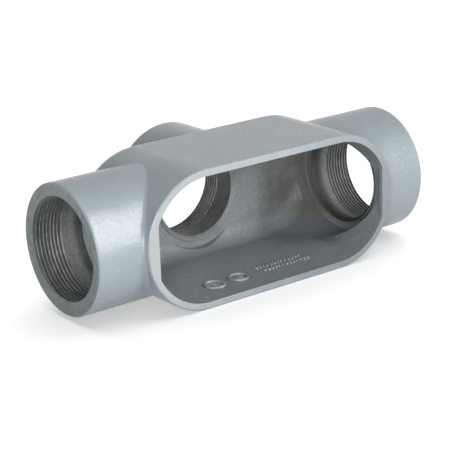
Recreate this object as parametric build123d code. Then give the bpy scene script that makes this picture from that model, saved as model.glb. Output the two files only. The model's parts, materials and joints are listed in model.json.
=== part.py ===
from build123d import *
import os

# A hollow cast conduit body, all sizes in millimetres.
# The run of two hubs lies along X and the branch hub leaves along +Y.
# The cover opening faces -Y, and the casting lies on one flat side, +Z up.

# Hubs
thread_bore_diameter = 56.6
hub_wall = 8.2
mouth_diameter = 64.0
mouth_chamfer_depth = 1.2
hub_edge_chamfer = 0.8
run_hub_length = 28.0
branch_hub_length = 26.5

# Flared throat that guards the wires where each hub opens into the chamber
throat_diameter = 52.4
throat_length = 5.5
throat_lead_length = 3.0
throat_ring_width = 3.0
throat_ring_height = 0.7
throat_flare = 2.0

# Chamber, a round-ended trough
body_length = 172.0
wall = 4.0
side_offset = 2.6
rim_offset = 3.5
back_offset = 0.6
back_edge_radius = 14.4
rim_edge_chamfer = 0.7
hub_blend_radius = 2.5

# Round bay sunk in front of each throat
bay_diameter = 66.0
run_bay_inset = 1.5
branch_bay_inset = 0.3

# Cover ledges at the opening's ends
ledge_width = 3.3
ledge_thickness = 3.0

# Worked out from the sizes above
hub_radius = thread_bore_diameter / 2 + hub_wall
body_half_height = hub_radius + side_offset
body_half_length = body_length / 2
rim_reach = hub_radius + rim_offset
back_reach = hub_radius + back_offset
run_reach = body_half_length + run_hub_length
branch_reach = back_reach + branch_hub_length
chamber_half_height = body_half_height - wall
chamber_half_length = body_half_length - wall
chamber_back = back_reach - wall
run_shoulder = chamber_half_length + run_bay_inset
branch_shoulder = chamber_back + branch_bay_inset

# Each hub's plane, its reach, and its shoulder's place along its axis
hub_sides = [
    (Plane.YZ, run_reach, run_shoulder),
    (Plane.YZ.rotated((0, 180, 0)), run_reach, run_shoulder),
    (Plane.XZ.rotated((180, 0, 0)), branch_reach, branch_shoulder),
]


def trough(half_length, half_height, back, front, edge_radius):
    """A round-ended block between two Y positions, its back edge rounded."""
    outline = SlotOverall(2 * half_length, 2 * half_height)
    block = extrude(Plane.XZ.offset(-back) * outline, back - front)
    return fillet(block.edges().group_by(Axis.Y)[-1], edge_radius)


def hub(reach):
    """A round hub along +Z from the origin, its outer edge eased."""
    barrel = Cylinder(hub_radius, reach, align=(Align.CENTER, Align.CENTER, Align.MIN))
    return chamfer(barrel.edges().group_by(Axis.Z)[-1], hub_edge_chamfer)


def hub_passage(reach, shoulder):
    """The space inside one hub, from its mouth on +Z down to the origin."""
    mouth = mouth_diameter / 2
    bore = thread_bore_diameter / 2
    throat = throat_diameter / 2
    bay = bay_diameter / 2
    ring = throat + throat_ring_width
    ring_top = shoulder - throat_ring_height
    throat_end = shoulder + throat_length
    ring_draft = throat_ring_height / 2
    outline = Polyline(
        (0, 0),
        (0, reach),
        (mouth, reach),
        (bore, reach - mouth_chamfer_depth),
        (bore, throat_end + throat_lead_length),
        (throat, throat_end),
        (throat, ring_top + throat_flare),
        (throat + throat_flare, ring_top),
        (ring - ring_draft, ring_top),
        (ring, shoulder),
        (bay, shoulder),
        (bay, 0),
        (0, 0),
    )
    return revolve(make_face(Plane.XZ * outline), axis=Axis.Z)


def ring_stock(shoulder):
    """The disc that the chamber leaves standing, for the passage to cut a throat's ring from."""
    radius = throat_diameter / 2 + throat_ring_width
    return Pos(0, 0, shoulder - throat_ring_height / 2) * Cylinder(radius, throat_ring_height)


def wiring_space():
    """Everything hollow: the chamber behind its opening, and the three passages."""
    ledge_back = -rim_reach + ledge_thickness
    chamber = trough(
        chamber_half_length,
        chamber_half_height,
        chamber_back,
        ledge_back,
        back_edge_radius - wall,
    )
    chamber -= [side * ring_stock(shoulder) for side, reach, shoulder in hub_sides]
    passages = [side * hub_passage(reach, shoulder) for side, reach, shoulder in hub_sides]
    opening = SlotOverall(2 * chamber_half_length, 2 * chamber_half_height)
    opening &= Rectangle(2 * (chamber_half_length - ledge_width), 2 * body_half_height)
    return chamber + passages + extrude(Plane.XZ.offset(-ledge_back) * opening, ledge_thickness)


def casting():
    """The whole casting, the hubs' axes crossing at the origin."""
    body = trough(
        body_half_length,
        body_half_height,
        back_reach,
        -rim_reach,
        back_edge_radius,
    )
    hubs = [side * hub(reach) for side, reach, shoulder in hub_sides]
    solid = body + hubs
    solid = fillet(new_edges(body, *hubs, combined=solid), hub_blend_radius)
    solid = chamfer(solid.edges().group_by(Axis.Y)[0], rim_edge_chamfer)
    return solid - wiring_space()


# It lies on its lower flat side, centred over the origin
centre_y = (branch_reach - rim_reach) / 2
conduit_body = Pos(0, -centre_y, body_half_height) * casting()

os.makedirs("parts", exist_ok=True)
export_step(conduit_body, "parts/conduit_body.step")
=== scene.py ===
import json
from math import atan2, hypot, radians, tan, tau

import bpy
from bpy.props import FloatProperty, FloatVectorProperty, IntProperty, PointerProperty
from mathutils import Matrix, Vector


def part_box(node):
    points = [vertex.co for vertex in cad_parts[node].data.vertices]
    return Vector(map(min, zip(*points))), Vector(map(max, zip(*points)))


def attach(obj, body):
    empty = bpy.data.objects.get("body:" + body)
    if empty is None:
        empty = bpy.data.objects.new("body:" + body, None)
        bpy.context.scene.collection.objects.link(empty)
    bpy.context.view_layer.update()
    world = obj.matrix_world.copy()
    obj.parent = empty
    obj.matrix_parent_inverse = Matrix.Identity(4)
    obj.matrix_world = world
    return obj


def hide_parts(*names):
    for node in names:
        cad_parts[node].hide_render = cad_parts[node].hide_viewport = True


bl_info = {
    "name": "Conduit Body",
    "version": (1, 0, 0),
    "blender": (4, 5, 0),
    "location": "View3D > Sidebar > Conduit Body",
    "description": "Threads, cast marks, enamel and a studio for a hollow cast conduit body",
    "category": "Object",
}

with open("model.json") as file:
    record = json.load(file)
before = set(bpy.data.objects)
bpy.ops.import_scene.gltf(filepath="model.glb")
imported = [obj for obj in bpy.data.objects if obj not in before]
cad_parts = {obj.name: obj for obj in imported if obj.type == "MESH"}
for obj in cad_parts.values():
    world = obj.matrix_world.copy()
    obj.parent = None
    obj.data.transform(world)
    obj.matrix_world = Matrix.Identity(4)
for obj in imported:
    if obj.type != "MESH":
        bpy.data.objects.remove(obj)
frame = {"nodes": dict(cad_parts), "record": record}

NODE = "conduit_body"
MOUNTS = {mount["name"]: mount for mount in frame["record"]["mounts"]}
HUBS = [MOUNTS[name] for name in ("run_hub_right", "run_hub_left", "branch_hub")]
LOW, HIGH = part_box(NODE)

# The hubs' axes cross inside the chamber, at the height of the run
BORE_RADIUS = HUBS[0]["dims"]["r_mm"] / 1000
CROSSING = Vector((0.0, HUBS[0]["pos_m"][1], HUBS[0]["pos_m"][2]))
RIM_Y = MOUNTS["cover_rim"]["pos_m"][1]

# A hub's outer radius, and its eased edge and its mouth's depth to within a tenth of a millimetre
HUB_RADIUS = 0.0365
HUB_EDGE = 0.0007
MOUTH_DEPTH = 0.0013

# How far inside a hub's face its throat ends, how much further a run hub's flare goes, and the bay's radius
# with a little to spare
THROAT_INSET = 0.029
FLARE = 0.0021
BAY_RADIUS = 0.0331

# How far the centres of the chamber's round ends lie in from the hubs' faces, and, with a little to spare,
# the radius of those ends and how far the chamber's back is from the crossing
END_INSET = 0.0671
CHAMBER_RADIUS = 0.0354
CHAMBER_BACK = 0.034

# How far a point may stray from the rim's plane, and how far off the bore a groove's surface begins
RIM_SLACK = 0.00005
GROOVE_SLACK = 0.00008

# The share of its normal that a face needs along an axis to count as facing it
FACING = 0.9

# Turns at the thread's inner end that are too faint to have crests of their own finish
FADED_TURNS = 0.6

# Each pip's place from the crossing along X and Y, and its share of the larger pip's radius
PIPS = ((-0.0298, -0.0207, 1.0), (-0.0126, -0.0202, 0.95))

# The tally bars: the first one's place, the rows, and how a row is shifted and spaced in steps and lengths
BARS_X = 0.0035
BARS_Y = -0.0155
BAR_ROWS = 2
BARS_IN_ROW = 13
ROW_SHIFT = 0.8
ROW_SPACING = 1.3
BAR_LENGTHS = (1.0, 0.6, 0.85, 1.0, 0.5)

# Vertices closer than this are one
SAME_PLACE = 1e-6

# The floor's whiteness in the camera's view, and how far it lies below the casting
FLOOR_WHITE = 0.94
FLOOR_GAP = 0.00002


# Sizes and colours that a user would change


class ThreadSizes(bpy.types.PropertyGroup):
    """The taper thread cut into each hub"""

    pitch: FloatProperty(
        name="Pitch", description="Distance from one turn to the next", default=0.00221, unit="LENGTH"
    )
    run_length: FloatProperty(
        name="Run Length", description="How far it reaches in from a run hub's face", default=0.0196,
        unit="LENGTH",
    )
    branch_length: FloatProperty(
        name="Branch Length", description="How far it reaches in from the branch hub's face", default=0.0146,
        unit="LENGTH",
    )
    root_radius: FloatProperty(
        name="Root Radius", description="Radius of the groove's bottom at the face", default=0.02972,
        unit="LENGTH",
    )
    root_flat: FloatProperty(
        name="Root Flat", description="Width of the groove's bottom", default=0.00028, unit="LENGTH"
    )
    flank_angle: FloatProperty(
        name="Flank Angle", description="Lean of each side of the groove", default=radians(30),
        subtype="ANGLE",
    )
    taper: FloatProperty(
        name="Taper", description="Radius lost for each unit of depth", default=1 / 32
    )
    runout_turns: FloatProperty(
        name="Run-out", description="Turns over which the groove's inner end dies away", default=1.0
    )
    overrun: FloatProperty(
        name="Overrun", description="How far the cutter starts outside the face", default=0.0012,
        unit="LENGTH",
    )
    clearance: FloatProperty(
        name="Clearance", description="How far the cutter stands proud in the bore", default=0.0002,
        unit="LENGTH",
    )
    steps: IntProperty(name="Steps", description="Straight stretches in one turn", default=96)


class MarkSizes(bpy.types.PropertyGroup):
    """Plain foundry pips and tally bars raised on the chamber's lower wall"""

    height: FloatProperty(
        name="Height", description="How far the marks stand off the wall", default=0.001, unit="LENGTH"
    )
    pip_radius: FloatProperty(
        name="Pip Radius", description="Radius of the larger pip", default=0.0062, unit="LENGTH"
    )
    bar_length: FloatProperty(
        name="Bar Length", description="Length of a tally bar", default=0.0042, unit="LENGTH"
    )
    bar_width: FloatProperty(
        name="Bar Width", description="Width of a tally bar", default=0.0013, unit="LENGTH"
    )
    bar_step: FloatProperty(
        name="Bar Step", description="Distance from bar to bar", default=0.0026, unit="LENGTH"
    )


class FinishColours(bpy.types.PropertyGroup):
    """Colours of the enamel, the skin inside and the cut thread"""

    enamel: FloatVectorProperty(
        name="Enamel", description="Grey enamel", subtype="COLOR", size=3, default=(0.318, 0.378, 0.41)
    )
    enamel_thick: FloatVectorProperty(
        name="Thick Enamel", description="Where the enamel lies thicker", subtype="COLOR", size=3,
        default=(0.297, 0.353, 0.383),
    )
    skin: FloatVectorProperty(
        name="Inner Skin", description="Thinly coated casting inside", subtype="COLOR", size=3,
        default=(0.262, 0.28, 0.288),
    )
    # Dark colour of bare patches inside, which also serves as painted shade
    skin_bare_and_shade: FloatVectorProperty(
        name="Bare Skin", description="Bare patches inside", subtype="COLOR", size=3,
        default=(0.148, 0.142, 0.136),
    )
    rim: FloatVectorProperty(
        name="Rim", description="Thin enamel on the ground rim", subtype="COLOR", size=3,
        default=(0.42, 0.455, 0.465),
    )
    # The rim's colour towards its lower right, a painted shade
    rim_shade: FloatVectorProperty(
        name="Lower Rim", description="The rim towards its lower right", subtype="COLOR", size=3,
        default=(0.236, 0.268, 0.3),
    )
    # The turned faces' colour, darker than the enamel partly as painted shade
    hub_face: FloatVectorProperty(
        name="Hub Face", description="Thin enamel on the turned faces", subtype="COLOR", size=3,
        default=(0.222, 0.254, 0.257),
    )
    crest: FloatVectorProperty(
        name="Crest", description="Rubbed crests of the thread", subtype="COLOR", size=3,
        default=(0.186, 0.2, 0.196),
    )
    # Blue-grey enamel on the lower wall inside, made darker as painted shade
    skin_low_shaded: FloatVectorProperty(
        name="Lower Skin", description="Greyer coat on the lower wall inside", subtype="COLOR", size=3,
        default=(0.226, 0.25, 0.266),
    )
    # Lighter colour of the raised marks, a painted highlight
    mark: FloatVectorProperty(
        name="Mark", description="Rubbed enamel on the raised marks", subtype="COLOR", size=3,
        default=(0.34, 0.365, 0.375),
    )
    bore: FloatVectorProperty(
        name="Bore", description="Bare wall between a thread and its throat", subtype="COLOR", size=3,
        default=(0.143, 0.152, 0.149),
    )
    # Near-black painted shade for the throats and the branch hub's wall past its thread
    throat: FloatVectorProperty(
        name="Throat", description="Dark lip of each throat", subtype="COLOR", size=3,
        default=(0.034, 0.036, 0.035),
    )
    # Dark oily metal of the grooves, kept darker than the crests partly as painted shade
    thread: FloatVectorProperty(
        name="Thread", description="Cut metal, dark with oil", subtype="COLOR", size=3,
        default=(0.088, 0.095, 0.092),
    )


class StageSettings(bpy.types.PropertyGroup):
    """Camera, lamps and backdrop"""

    azimuth: FloatProperty(
        name="Azimuth", description="Camera's turn to the side", default=radians(-37.15), subtype="ANGLE"
    )
    elevation: FloatProperty(
        name="Elevation", description="Camera's height as an angle", default=radians(18.15), subtype="ANGLE"
    )
    roll: FloatProperty(
        name="Roll", description="Camera's tilt about its view", default=radians(-2.1), subtype="ANGLE"
    )
    lens: FloatProperty(
        name="Lens", description="Focal length in millimetres, for a 36 mm sensor", default=127.09
    )
    camera_place: FloatVectorProperty(
        name="Camera Place", description="From the crossing of the hubs' axes", subtype="TRANSLATION", size=3,
        default=(-0.5221, -0.6819, 0.2698),
    )
    key_direction: FloatVectorProperty(
        name="Key Direction", description="From the casting to the large lamp", subtype="DIRECTION", size=3,
        default=(0.46, -0.75, 0.475),
    )
    key_distance: FloatProperty(
        name="Key Distance", description="From the casting to the large lamp", default=4.0, unit="LENGTH"
    )
    key_width: FloatProperty(
        name="Key Width", description="Width of the large lamp", default=0.6, unit="LENGTH"
    )
    key_height: FloatProperty(
        name="Key Height", description="Height of the large lamp", default=4.2, unit="LENGTH"
    )
    key_power: FloatProperty(
        name="Key Power", description="Power of the large lamp, in watts", default=117.0
    )
    fill_direction: FloatVectorProperty(
        name="Fill Direction", description="From the casting to the weaker lamp", subtype="DIRECTION", size=3,
        default=(-0.62, -0.78, 0.03),
    )
    fill_distance: FloatProperty(
        name="Fill Distance", description="From the casting to the weaker lamp", default=1.0, unit="LENGTH"
    )
    fill_width: FloatProperty(
        name="Fill Width", description="Width of the weaker lamp", default=0.8, unit="LENGTH"
    )
    fill_height: FloatProperty(
        name="Fill Height", description="Height of the weaker lamp", default=0.8, unit="LENGTH"
    )
    fill_power: FloatProperty(
        name="Fill Power", description="Power of the weaker lamp, in watts", default=13.2
    )
    ambient_low: FloatProperty(
        name="Ambient Low", description="Strength of the room's light from the sides", default=0.25
    )
    ambient_high: FloatProperty(
        name="Ambient High", description="Strength of the room's light from overhead", default=0.0
    )
    floor_lamp_direction: FloatVectorProperty(
        name="Floor Lamp Direction", description="From the casting to the floor's own lamp",
        subtype="DIRECTION", size=3, default=(0.25, 0.1, 1.0),
    )
    floor_lamp_height: FloatProperty(
        name="Floor Lamp Height", description="Height of the floor's own lamp", default=2.5, unit="LENGTH"
    )
    floor_lamp_size: FloatProperty(
        name="Floor Lamp Size", description="Side of the floor's own lamp", default=4.4, unit="LENGTH"
    )
    floor_lamp_power: FloatProperty(
        name="Floor Lamp Power", description="Power of the floor's own lamp, in watts", default=92.0
    )
    floor_bounce: FloatProperty(
        name="Floor Bounce", description="Share of its light that the floor gives back to the casting",
        default=0.36,
    )
    floor_size: FloatProperty(
        name="Floor Size", description="Side of the pale floor", default=2.6, unit="LENGTH"
    )
    floor_glow: FloatProperty(
        name="Floor Glow", description="What the camera adds to the floor to reach white", default=0.46
    )


# Modelling helpers


def only(piece):
    """Makes one piece the only selected one, in object mode."""
    if bpy.context.mode != "OBJECT":
        bpy.ops.object.mode_set(mode="OBJECT")
    bpy.ops.object.select_all(action="DESELECT")
    piece.select_set(True)
    bpy.context.view_layer.objects.active = piece


def edit(piece, kind="vertices", chosen=None):
    """Opens one piece in edit mode, with the vertices or polygons that chosen accepts selected."""
    only(piece)
    bpy.ops.object.mode_set(mode="EDIT")
    bpy.ops.mesh.select_mode(type={"vertices": "VERT", "polygons": "FACE"}[kind])
    bpy.ops.mesh.select_all(action="DESELECT" if chosen else "SELECT")
    if chosen:
        bpy.ops.object.mode_set(mode="OBJECT")
        for element in getattr(piece.data, kind):
            element.select = chosen(element)
        bpy.ops.object.mode_set(mode="EDIT")


def done():
    """Leaves edit mode and returns the piece that was edited."""
    bpy.ops.object.mode_set(mode="OBJECT")
    return bpy.context.view_layer.objects.active


def modify(piece, kind, **settings):
    """Adds one modifier to a piece and applies it."""
    only(piece)
    modifier = piece.modifiers.new(kind.title(), kind)
    for name, value in settings.items():
        setattr(modifier, name, value)
    bpy.ops.object.modifier_apply(modifier=modifier.name)


def duplicate(piece, name):
    """A copy of a piece with a mesh of its own."""
    copy = piece.copy()
    copy.data = piece.data.copy()
    copy.name = name
    copy.parent = None
    bpy.context.scene.collection.objects.link(copy)
    return copy


def reach(hub):
    """How far a hub's face stands from the crossing of the axes."""
    axis = Vector(hub["axis"])
    corner = HIGH if sum(axis) > 0 else LOW
    return (corner - CROSSING).dot(axis)


# Casting


def thread_coil(thread):
    """A closed coil along X that cuts a thread, the hub's face at the origin and its mouth towards +X."""
    base_radius = BORE_RADIUS - thread.clearance
    depth = thread.root_radius - base_radius
    base_width = thread.root_flat + 2 * depth * tan(thread.flank_angle)
    travel = thread.run_length + thread.overrun
    turns = travel / thread.pitch
    steps = round(turns * thread.steps)
    bpy.ops.mesh.primitive_plane_add(size=1, location=(0, 0, 0))
    coil = bpy.context.active_object
    coil.scale = (base_width, depth, 1)
    bpy.ops.object.transform_apply(scale=True)
    edit(coil, "vertices", lambda vertex: vertex.co.y > 0)
    bpy.ops.transform.resize(value=(thread.root_flat / base_width, 1, 1))
    bpy.ops.mesh.select_all(action="SELECT")
    bpy.ops.transform.translate(value=(-thread.run_length, base_radius + depth / 2, 0))
    bpy.ops.mesh.delete(type="ONLY_FACE")
    done()
    modify(coil, "SCREW", axis="X", angle=turns * tau, screw_offset=travel, steps=steps, render_steps=steps)
    edit(coil)
    bpy.ops.mesh.fill_holes(sides=4)
    done()
    for vertex in coil.data.vertices:
        inset = -vertex.co.x
        turns_left = (thread.run_length - inset) / thread.pitch
        fading = max(0.0, 1 - turns_left / thread.runout_turns)
        radius = hypot(vertex.co.y, vertex.co.z)
        drawn_in = radius - thread.taper * inset - fading * depth
        vertex.co.yz = vertex.co.yz * (drawn_in / radius)
    edit(coil)
    bpy.ops.mesh.normals_make_consistent(inside=False)
    return done()


def is_branch(hub):
    """Whether a hub is the one on the back."""
    return hub["name"] == "branch_hub"


def thread_length(hub, thread):
    """How far the thread reaches in from a hub's face."""
    return thread.branch_length if is_branch(hub) else thread.run_length


def cut_threads(casting, thread):
    """Cuts the same coil into every hub, set further out where its thread is shorter."""
    pattern = thread_coil(thread)
    for hub in HUBS:
        axis = Vector(hub["axis"])
        turn = Matrix.Rotation(atan2(axis.y, axis.x), 4, "Z")
        coil = duplicate(pattern, "coil")
        place = reach(hub) + thread.run_length - thread_length(hub, thread)
        coil.data.transform(Matrix.Translation(CROSSING) @ turn @ Matrix.Translation((place, 0, 0)))
        modify(casting, "BOOLEAN", operation="DIFFERENCE", solver="EXACT", object=coil)
        bpy.data.objects.remove(coil)
    bpy.data.objects.remove(pattern)


def finish_of(place, normal, thread):
    """Which finish the casting has at a point of its surface."""
    for hub in HUBS:
        axis = Vector(hub["axis"])
        along = (place - CROSSING).dot(axis)
        radius = (place - CROSSING - along * axis).length
        inset = reach(hub) - along
        length = thread_length(hub, thread)
        bore_end = THROAT_INSET + (0 if is_branch(hub) else FLARE)
        if radius < HUB_RADIUS - HUB_EDGE and inset < MOUTH_DEPTH and normal.dot(axis) > FACING:
            return "hub_face"
        if BORE_RADIUS + GROOVE_SLACK < radius < thread.root_radius and inset < length:
            return "thread"
        if radius < thread.root_radius and inset < length - FADED_TURNS * thread.pitch:
            return "crest"
        if radius < thread.root_radius and inset < bore_end:
            return "branch_bore" if is_branch(hub) else "run_bore"
        if radius < BAY_RADIUS and along > 0:
            return "skin"
    if place.y < RIM_Y + RIM_SLACK:
        return "rim"
    past_centre = max(abs(place.x) - (HIGH.x - END_INSET), 0.0)
    in_outline = hypot(past_centre, place.z - CROSSING.z) < CHAMBER_RADIUS
    if in_outline and place.y < CROSSING.y + CHAMBER_BACK:
        return "skin"
    return "enamel"


class CONDUIT_OT_casting(bpy.types.Operator):
    """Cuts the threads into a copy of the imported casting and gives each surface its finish"""

    bl_idname = "conduit.casting"
    bl_label = "Casting"
    bl_options = {"REGISTER", "UNDO"}

    def execute(self, context):
        settings = context.scene.conduit_thread
        casting = duplicate(frame["nodes"][NODE], "casting")
        casting.data.materials.clear()
        edit(casting)
        bpy.ops.mesh.remove_doubles(threshold=SAME_PLACE)
        bpy.ops.mesh.customdata_custom_splitnormals_clear()
        done()
        cut_threads(casting, settings)
        finishes = finish_materials(context.scene.conduit_finish)
        names = list(finishes)
        for made in finishes.values():
            casting.data.materials.append(made)
        for polygon in casting.data.polygons:
            polygon.material_index = names.index(finish_of(polygon.center, polygon.normal, settings))
        only(casting)
        bpy.ops.object.shade_smooth_by_angle(angle=radians(32))
        modify(casting, "WEIGHTED_NORMAL", keep_sharp=True)
        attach(casting, "root")
        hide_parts(NODE)
        return {"FINISHED"}


# Cast marks


def wall_below(x, y):
    """The chamber's lower wall, straight below a point at the height of the crossing."""
    casting = bpy.data.objects["casting"]
    hit, place = casting.ray_cast(Vector((x, y, CROSSING.z)), Vector((0, 0, -1)))[:2]
    if not hit:
        raise RuntimeError("the chamber has no wall below its axis")
    return place


def pip(place, radius, height):
    """A round raised ring with a low button in its middle."""
    ring_width = radius * 0.2
    trough_width = radius * 0.4
    trough_depth = height * 0.85
    button_height = height * 0.4
    edge = height * 0.18
    bpy.ops.object.select_all(action="DESELECT")
    bpy.ops.mesh.primitive_cylinder_add(vertices=48, radius=radius, depth=2 * height, location=place)
    made = bpy.context.active_object
    edit(made, "polygons", lambda polygon: polygon.normal.z > FACING)
    bpy.ops.mesh.inset(thickness=ring_width)
    bpy.ops.mesh.extrude_region_move(TRANSFORM_OT_translate={"value": (0, 0, -trough_depth)})
    bpy.ops.mesh.inset(thickness=trough_width)
    bpy.ops.mesh.extrude_region_move(TRANSFORM_OT_translate={"value": (0, 0, button_height)})
    done()
    modify(made, "BEVEL", width=edge, segments=2)
    return made


def tally_bar(place, width, length, height):
    """A short raised bar with drawn-in top and softened edges."""
    top = (0.7, 0.9, 1)
    edge = height * 0.35
    bpy.ops.object.select_all(action="DESELECT")
    bpy.ops.mesh.primitive_cube_add(size=1, location=place)
    made = bpy.context.active_object
    made.scale = (width, length, 2 * height)
    bpy.ops.object.transform_apply(scale=True)
    edit(made, "polygons", lambda polygon: polygon.normal.z > FACING)
    bpy.ops.transform.resize(value=top)
    done()
    modify(made, "BEVEL", width=edge, segments=2)
    return made


class CONDUIT_OT_cast_marks(bpy.types.Operator):
    """Raises plain foundry pips and tally bars on the chamber's lower wall"""

    bl_idname = "conduit.cast_marks"
    bl_label = "Cast Marks"
    bl_options = {"REGISTER", "UNDO"}

    def execute(self, context):
        marks = context.scene.conduit_marks
        made = []
        for x, y, share in PIPS:
            place = wall_below(x, CROSSING.y + y)
            made.append(pip(place, share * marks.pip_radius, marks.height))
        for row in range(BAR_ROWS):
            for step in range(BARS_IN_ROW):
                x = BARS_X + (step + ROW_SHIFT * row) * marks.bar_step
                y = BARS_Y - row * ROW_SPACING * marks.bar_length
                length = marks.bar_length * BAR_LENGTHS[(2 * step + row) % len(BAR_LENGTHS)]
                place = wall_below(x, CROSSING.y + y)
                made.append(tally_bar(place, marks.bar_width, length, marks.height))
        only(made[0])
        for piece in made:
            piece.select_set(True)
        bpy.ops.object.join()
        joined = bpy.context.active_object
        joined.name = "cast_marks"
        bpy.ops.object.transform_apply(location=True, rotation=True, scale=True)
        bpy.ops.object.shade_smooth_by_angle(angle=radians(40))
        joined.data.materials.clear()
        # The marks get a painted highlight
        joined.data.materials.append(rubbed(context.scene.conduit_finish))
        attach(joined, "root")
        return {"FINISHED"}


# Materials, in which a place along an axis is in metres from the frame's origin


class Nodes:
    """A material's node tree, with short calls that add and join nodes."""

    def __init__(self, name):
        self.material = bpy.data.materials.new(name)
        self.material.use_nodes = True
        self.tree = self.material.node_tree
        self.shader = self.tree.nodes["Principled BSDF"]
        self.place = self.tree.nodes.new("ShaderNodeTexCoord").outputs["Object"]

    def add(self, kind, inputs=None, **settings):
        """A new node, with settings set and inputs given as values or as sockets."""
        node = self.tree.nodes.new("ShaderNode" + kind)
        for name, value in settings.items():
            setattr(node, name, value)
        for name, value in (inputs or {}).items():
            self.join(value, node.inputs[name])
        return node

    def join(self, value, socket):
        """Links a socket, or sets a plain value."""
        if isinstance(value, bpy.types.NodeSocket):
            self.tree.links.new(value, socket)
        else:
            socket.default_value = value

    def axis(self, name):
        """One coordinate of the surface's place: X, Y or Z."""
        return self.add("SeparateXYZ", {"Vector": self.place}).outputs[name]

    def maths(self, operation, *values, **settings):
        """The result of one Math node on one value or two."""
        return self.add("Math", dict(enumerate(values)), operation=operation, **settings).outputs[0]

    def noise(self, size, detail, roughness=0.5):
        """Noise with features of about that size, in metres."""
        inputs = {"Vector": self.place, "Scale": 1 / size, "Detail": detail, "Roughness": roughness}
        return self.add("TexNoise", inputs).outputs["Fac"]

    def span(self, value, low, high, to_low=0.0, to_high=1.0):
        """A value's span from low to high, mapped to another."""
        inputs = {"Value": value, "From Min": low, "From Max": high, "To Min": to_low, "To Max": to_high}
        return self.add("MapRange", inputs).outputs["Result"]

    def mix(self, share, first, second):
        """Two colours mixed by a share."""
        node = self.add("Mix", data_type="RGBA")
        self.join(share, node.inputs[0])
        self.join(first, node.inputs[6])
        self.join(second, node.inputs[7])
        return node.outputs[2]

    def scaled(self, colour, factor):
        """A colour made brighter or darker by a factor that changes over the surface."""
        return self.add("VectorMath", {0: colour, "Scale": factor}, operation="SCALE").outputs["Vector"]

    def uneven(self, low, high, size=0.003, detail=3):
        """A roughness that wanders between two values."""
        return self.span(self.noise(size, detail), 0.3, 0.7, low, high)

    def bump(self, height, distance, normal):
        """A bump that stands that far off the surface, in metres, on top of another normal."""
        return self.add("Bump", {"Height": height, "Distance": distance, "Normal": normal}).outputs["Normal"]

    def eased_edges(self, radius):
        """The surface's normal with its edges rounded."""
        return self.add("Bevel", {"Radius": radius}, samples=6).outputs["Normal"]

    def surface(self, colour, roughness, normal, **values):
        """Fills in the shader and returns the material."""
        self.join(colour, self.shader.inputs["Base Color"])
        self.join(roughness, self.shader.inputs["Roughness"])
        self.join(normal, self.shader.inputs["Normal"])
        for name, value in values.items():
            self.shader.inputs[name.replace("_", " ")].default_value = value
        return self.material


def rgba(colour, factor=1.0):
    """A colour with full alpha, made brighter or darker by a factor."""
    return (*(factor * part for part in colour), 1.0)


def enamel(colours):
    """Grey enamel over a sand-cast skin: orange peel, fine grit and a slow change of tone."""
    nodes = Nodes("enamel")
    slow = nodes.span(nodes.noise(0.02, 3), 0.35, 0.65)
    speckle = nodes.span(nodes.noise(0.0022, 3, 0.65), 0.3, 0.7, -0.6, 0.6)
    tone = nodes.maths("ADD", slow, speckle, use_clamp=True)
    colour = nodes.mix(tone, rgba(colours.enamel), rgba(colours.enamel_thick))
    waves = nodes.bump(nodes.noise(0.009, 2), 0.0002, nodes.eased_edges(0.0006))
    peel = nodes.bump(nodes.noise(0.0014, 3, 0.65), 0.00017, waves)
    return nodes.surface(colour, nodes.uneven(0.2, 0.28), peel, Specular_IOR_Level=0.72)


def rim(colours):
    """The ground rim, lighter at its top and left and greyer towards its lower right as painted shade."""
    nodes = Nodes("rim")
    # Painted shade: the rim greys towards its lower right, where less light falls
    lighter_way = (-5.4, 0.0, 7.7)
    lean = nodes.add("VectorMath", {0: nodes.place, 1: lighter_way}, operation="DOT_PRODUCT").outputs["Value"]
    patchy = nodes.span(nodes.noise(0.007, 4), 0.35, 0.65, -0.08, 0.08)
    share = nodes.span(nodes.maths("ADD", lean, patchy), -0.25, 0.6)
    colour = nodes.mix(share, rgba(colours.rim_shade), rgba(colours.rim))
    peel = nodes.bump(nodes.noise(0.0018, 3), 0.00008, nodes.eased_edges(0.0005))
    return nodes.surface(colour, nodes.uneven(0.34, 0.46), peel)


def hub_face(colours):
    """A hub's turned face and mouth, mottled under thin enamel, with painted shade that darkens it towards
    the floor.
    """
    nodes = Nodes("hub_face")
    lowest = 0.003
    highest = 0.075
    tone = nodes.span(nodes.noise(0.0035, 5, 0.7), 0.38, 0.62)
    mottled = nodes.mix(tone, rgba(colours.hub_face), rgba(colours.hub_face, 0.68))
    # Painted shade: the face darkens towards the floor and brightens towards its top
    colour = nodes.scaled(mottled, nodes.span(nodes.axis("Z"), lowest, highest, 0.88, 1.13))
    grit = nodes.bump(nodes.noise(0.0014, 3, 0.65), 0.00012, nodes.eased_edges(0.0005))
    return nodes.surface(colour, 0.45, grit)


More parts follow.
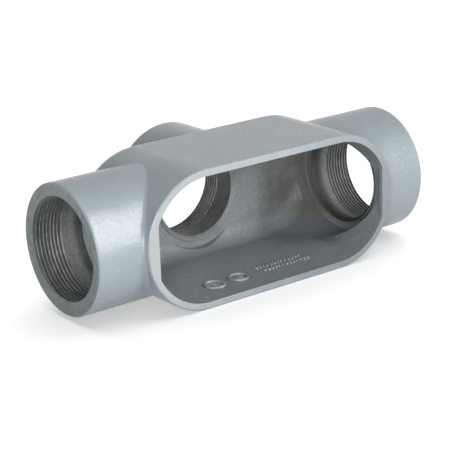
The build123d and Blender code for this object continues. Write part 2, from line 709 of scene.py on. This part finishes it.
def skin(colours):
    """The casting inside: thin enamel over coarse grit, greyer low down and browner to the right, with
    painted shade darkening it low down, to the right and deeper in.
    """
    nodes = Nodes("skin")
    right_end = 0.08
    near_rim = -0.038
    deep_inside = -0.012
    lower_wall = 0.006
    above_wall = 0.016
    # Painted shade: the dark patches gather towards the right end and deeper into the chamber
    along = nodes.span(nodes.axis("X"), 0.0, right_end, -0.26, 0.14)
    patch = nodes.span(nodes.maths("ADD", nodes.noise(0.03, 4, 0.6), along), 0.33, 0.62)
    bare_and_shade = nodes.maths("MULTIPLY", patch, nodes.span(nodes.axis("Y"), near_rim, deep_inside))
    mottled = nodes.mix(bare_and_shade, rgba(colours.skin), rgba(colours.skin_bare_and_shade))
    # Painted shade: the lower wall takes a darker copy of the enamel
    low = nodes.span(nodes.axis("Z"), lower_wall, above_wall, 1.0, 0.0)
    coat = nodes.mix(low, mottled, rgba(colours.skin_low_shaded))
    colour = nodes.scaled(coat, nodes.span(nodes.noise(0.0016, 3, 0.7), 0.3, 0.7, 0.84, 1.16))
    lumps = nodes.bump(nodes.noise(0.006, 3), 0.0004, nodes.eased_edges(0.0012))
    grit = nodes.bump(nodes.noise(0.0013, 3, 0.65), 0.0003, lumps)
    return nodes.surface(colour, nodes.uneven(0.4, 0.58), grit)


def rubbed(colours):
    """The raised marks under thin enamel, painted lighter as a highlight where they catch the light."""
    nodes = Nodes("rubbed")
    tone = nodes.span(nodes.noise(0.004, 4), 0.4, 0.6)
    # Painted highlight on the marks, mixed with the lower wall's painted shade
    colour = nodes.mix(tone, rgba(colours.mark), rgba(colours.skin_low_shaded))
    grit = nodes.bump(nodes.noise(0.0013, 3), 0.00012, nodes.eased_edges(0.0003))
    return nodes.surface(colour, 0.35, grit)


def run_bore(colours):
    """Grainy cast wall beyond a run hub's thread, with painted shade that darkens it into the throat."""
    nodes = Nodes("run_bore")
    throat_lip = 0.0872
    bare_wall = 0.0902
    share = nodes.span(nodes.maths("ABSOLUTE", nodes.axis("X")), throat_lip, bare_wall)
    grainy = nodes.span(nodes.noise(0.0016, 4, 0.7), 0.35, 0.65)
    bore = nodes.mix(grainy, rgba(colours.bore, 1.12), rgba(colours.bore, 0.55))
    # Painted shade: the wall turns near-black towards the throat
    colour = nodes.mix(share, rgba(colours.throat), bore)
    grit = nodes.bump(nodes.noise(0.0014, 3, 0.7), 0.0005, nodes.eased_edges(0.0008))
    return nodes.surface(colour, 0.5, grit)


def branch_bore(colours):
    """The smoother wall beyond the branch hub's thread, painted dark as shade."""
    nodes = Nodes("branch_bore")
    tone = nodes.span(nodes.noise(0.008, 3), 0.35, 0.65)
    # Painted shade over the whole wall past the branch hub's thread
    colour = nodes.mix(tone, rgba(colours.throat), rgba(colours.throat, 0.7))
    grit = nodes.bump(nodes.noise(0.0016, 3), 0.00012, nodes.eased_edges(0.0008))
    return nodes.surface(colour, nodes.uneven(0.4, 0.55, detail=2), grit)


def fine_cut(nodes):
    """The faint grain and barely eased edges of a cut thread."""
    return nodes.bump(nodes.noise(0.0009, 2), 0.00003, nodes.eased_edges(0.00012))


def thread_metal(colours):
    """Cut metal, dark with oil, its grooves painted darker than the crests as shade."""
    nodes = Nodes("thread")
    tone = nodes.span(nodes.noise(0.006, 3), 0.3, 0.7)
    colour = nodes.mix(tone, rgba(colours.thread), rgba(colours.thread, 0.6))
    return nodes.surface(colour, nodes.uneven(0.45, 0.6, size=0.002, detail=2), fine_cut(nodes))


def crest(colours):
    """The thread's crests, with a painted highlight brightest near the mouths and in the branch hub, and
    painted shade in the right hub.
    """
    nodes = Nodes("crest")
    crest_light_starts = 0.098
    right_shade_deepest = 0.1
    near_mouth = 0.112
    run_hubs_end = 0.02
    branch_begins = 0.026
    right_hub = 0.05
    tone = nodes.span(nodes.noise(0.005, 4), 0.35, 0.65)
    # Painted highlight: crests brighten towards the mouths and in the branch hub
    by_mouth = nodes.span(nodes.maths("ABSOLUTE", nodes.axis("X")), crest_light_starts, near_mouth)
    in_branch = nodes.span(nodes.axis("Y"), run_hubs_end, branch_begins, 0.0, 0.5)
    crest_light_share = nodes.maths("MAXIMUM", by_mouth, in_branch)
    lit_crest = nodes.mix(crest_light_share, rgba(colours.crest), rgba(colours.crest, 2.3))
    patchy = nodes.mix(tone, lit_crest, rgba(colours.crest, 0.6))
    # Painted shade: the right hub's crests darken into the thread's colour
    right_hub_shade = nodes.span(nodes.axis("X"), near_mouth, right_shade_deepest, 0.3, 0.75)
    on_right = nodes.maths("GREATER_THAN", nodes.axis("X"), right_hub)
    colour = nodes.mix(nodes.maths("MULTIPLY", right_hub_shade, on_right), patchy, rgba(colours.thread))
    return nodes.surface(colour, 0.45, fine_cut(nodes), Metallic=0.2)


def finish_materials(colours):
    """Every finish of the casting, by name."""
    return {
        "enamel": enamel(colours),
        "rim": rim(colours),
        "hub_face": hub_face(colours),
        "skin": skin(colours),
        "run_bore": run_bore(colours),
        "branch_bore": branch_bore(colours),
        "thread": thread_metal(colours),
        "crest": crest(colours),
    }


# Stage


def camera(stage):
    """The camera, placed and turned as fitted to the photograph."""
    data = bpy.data.cameras.new("camera")
    data.sensor_width = 36.0
    data.lens = stage.lens
    made = bpy.data.objects.new("camera", data)
    bpy.context.scene.collection.objects.link(made)
    turn = Matrix.Rotation(stage.azimuth, 4, "Z")
    turn = turn @ Matrix.Rotation(radians(90) - stage.elevation, 4, "X")
    turn = turn @ Matrix.Rotation(stage.roll, 4, "Z")
    made.matrix_world = Matrix.Translation(CROSSING + Vector(stage.camera_place)) @ turn
    bpy.context.scene.camera = made


def lamp(name, direction, distance, width, height, power, lit):
    """A soft lamp that faces the casting, its height square to the run, and lights only the pieces given."""
    data = bpy.data.lights.new(name, "AREA")
    data.shape = "RECTANGLE"
    data.size = width
    data.size_y = height
    data.energy = power
    made = bpy.data.objects.new(name, data)
    bpy.context.scene.collection.objects.link(made)
    aim = Vector(direction).normalized()
    tall = aim.cross(Vector((1, 0, 0))).normalized()
    made.location = CROSSING + distance * aim
    made.rotation_euler = Matrix((tall.cross(aim), tall, aim)).transposed().to_euler()
    made.light_linking.receiver_collection = bpy.data.collections.new(name + "_lights")
    for piece in lit:
        made.light_linking.receiver_collection.objects.link(piece)


def white_to_the_eye(tree, plain, seen):
    """Mixes two shaders: the camera, gloss and glass see the second, and the light comes from the first."""
    path = tree.nodes.new("ShaderNodeLightPath")
    looking = path.outputs["Is Camera Ray"]
    for ray in ("Is Glossy Ray", "Is Transmission Ray"):
        either = tree.nodes.new("ShaderNodeMath")
        either.operation = "MAXIMUM"
        tree.links.new(looking, either.inputs[0])
        tree.links.new(path.outputs[ray], either.inputs[1])
        looking = either.outputs[0]
    mix = tree.nodes.new("ShaderNodeMixShader")
    tree.links.new(looking, mix.inputs[0])
    tree.links.new(plain.outputs[0], mix.inputs[1])
    tree.links.new(seen.outputs[0], mix.inputs[2])
    return mix


def backdrop(stage):
    """A room that lights softly, less from overhead, and looks white."""
    world = bpy.data.worlds.new("room")
    world.use_nodes = True
    tree = world.node_tree
    lit = tree.nodes["Background"]
    lit.inputs["Color"].default_value = (1, 1, 1, 1)
    direction = tree.nodes.new("ShaderNodeTexCoord")
    axes = tree.nodes.new("ShaderNodeSeparateXYZ")
    strength = tree.nodes.new("ShaderNodeMapRange")
    strength.inputs["To Min"].default_value = stage.ambient_low
    strength.inputs["To Max"].default_value = stage.ambient_high
    tree.links.new(direction.outputs["Generated"], axes.inputs[0])
    tree.links.new(axes.outputs["Z"], strength.inputs["Value"])
    tree.links.new(strength.outputs["Result"], lit.inputs["Strength"])
    seen = tree.nodes.new("ShaderNodeBackground")
    seen.inputs["Color"].default_value = (1, 1, 1, 1)
    tree.links.new(white_to_the_eye(tree, lit, seen).outputs[0], tree.nodes["World Output"].inputs[0])
    bpy.context.scene.world = world


def floor(stage):
    """A pale floor that keeps the casting's shadow."""
    bpy.ops.object.select_all(action="DESELECT")
    place = (CROSSING.x, CROSSING.y, LOW.z - FLOOR_GAP)
    bpy.ops.mesh.primitive_plane_add(size=stage.floor_size, location=place)
    made = bpy.context.active_object
    made.name = "floor"
    material = bpy.data.materials.new("floor")
    material.use_nodes = True
    tree = material.node_tree
    tree.nodes.remove(tree.nodes["Principled BSDF"])
    plain = tree.nodes.new("ShaderNodeBsdfDiffuse")
    plain.inputs["Color"].default_value = rgba((stage.floor_bounce,) * 3)
    lit = tree.nodes.new("ShaderNodeBsdfDiffuse")
    lit.inputs["Color"].default_value = rgba((FLOOR_WHITE,) * 3)
    glow = tree.nodes.new("ShaderNodeEmission")
    glow.inputs["Strength"].default_value = stage.floor_glow
    bright = tree.nodes.new("ShaderNodeAddShader")
    tree.links.new(lit.outputs[0], bright.inputs[0])
    tree.links.new(glow.outputs[0], bright.inputs[1])
    mix = white_to_the_eye(tree, plain, bright)
    tree.links.new(mix.outputs[0], tree.nodes["Material Output"].inputs["Surface"])
    made.data.materials.append(material)
    return made


class CONDUIT_OT_stage(bpy.types.Operator):
    """Sets the camera, the lamps, the white room and the pale floor"""

    bl_idname = "conduit.stage"
    bl_label = "Stage"
    bl_options = {"REGISTER", "UNDO"}

    def execute(self, context):
        stage = context.scene.conduit_stage
        context.scene.view_settings.view_transform = "Standard"
        camera(stage)
        pieces = [bpy.data.objects["casting"], bpy.data.objects["cast_marks"]]
        lamp(
            "key", stage.key_direction, stage.key_distance,
            stage.key_width, stage.key_height, stage.key_power, pieces,
        )
        lamp(
            "fill", stage.fill_direction, stage.fill_distance,
            stage.fill_width, stage.fill_height, stage.fill_power, pieces,
        )
        lamp(
            "floor_lamp", stage.floor_lamp_direction, stage.floor_lamp_height,
            stage.floor_lamp_size, stage.floor_lamp_size, stage.floor_lamp_power, [floor(stage)],
        )
        backdrop(stage)
        return {"FINISHED"}


# Panel and registration


class VIEW3D_PT_conduit(bpy.types.Panel):
    """Lists the casting's settings and the operators that make its pieces"""

    bl_idname = "VIEW3D_PT_conduit"
    bl_label = "Conduit Body"
    bl_space_type = "VIEW_3D"
    bl_region_type = "UI"
    bl_category = "Conduit Body"

    def draw(self, context):
        for title, name, settings in GROUPS:
            box = self.layout.box()
            box.label(text=title)
            group = getattr(context.scene, name)
            for setting in group.bl_rna.properties:
                if setting.identifier not in ("rna_type", "name"):
                    box.prop(group, setting.identifier)
        for operator in OPERATORS:
            self.layout.operator(operator.bl_idname)


GROUPS = (
    ("Thread", "conduit_thread", ThreadSizes),
    ("Cast Marks", "conduit_marks", MarkSizes),
    ("Finish", "conduit_finish", FinishColours),
    ("Stage", "conduit_stage", StageSettings),
)
OPERATORS = (CONDUIT_OT_casting, CONDUIT_OT_cast_marks, CONDUIT_OT_stage)
CLASSES = (*(settings for title, name, settings in GROUPS), *OPERATORS, VIEW3D_PT_conduit)


def register():
    """Adds the settings, the operators and the panel to Blender."""
    for made in CLASSES:
        bpy.utils.register_class(made)
    for title, name, settings in GROUPS:
        setattr(bpy.types.Scene, name, PointerProperty(type=settings))


def unregister():
    """Takes them out again."""
    for title, name, settings in GROUPS:
        delattr(bpy.types.Scene, name)
    for made in reversed(CLASSES):
        bpy.utils.unregister_class(made)


def main():
    """Makes the whole scene."""
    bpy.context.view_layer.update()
    register()
    bpy.ops.conduit.casting()
    bpy.ops.conduit.cast_marks()
    bpy.ops.conduit.stage()


if __name__ == "__main__":
    main()
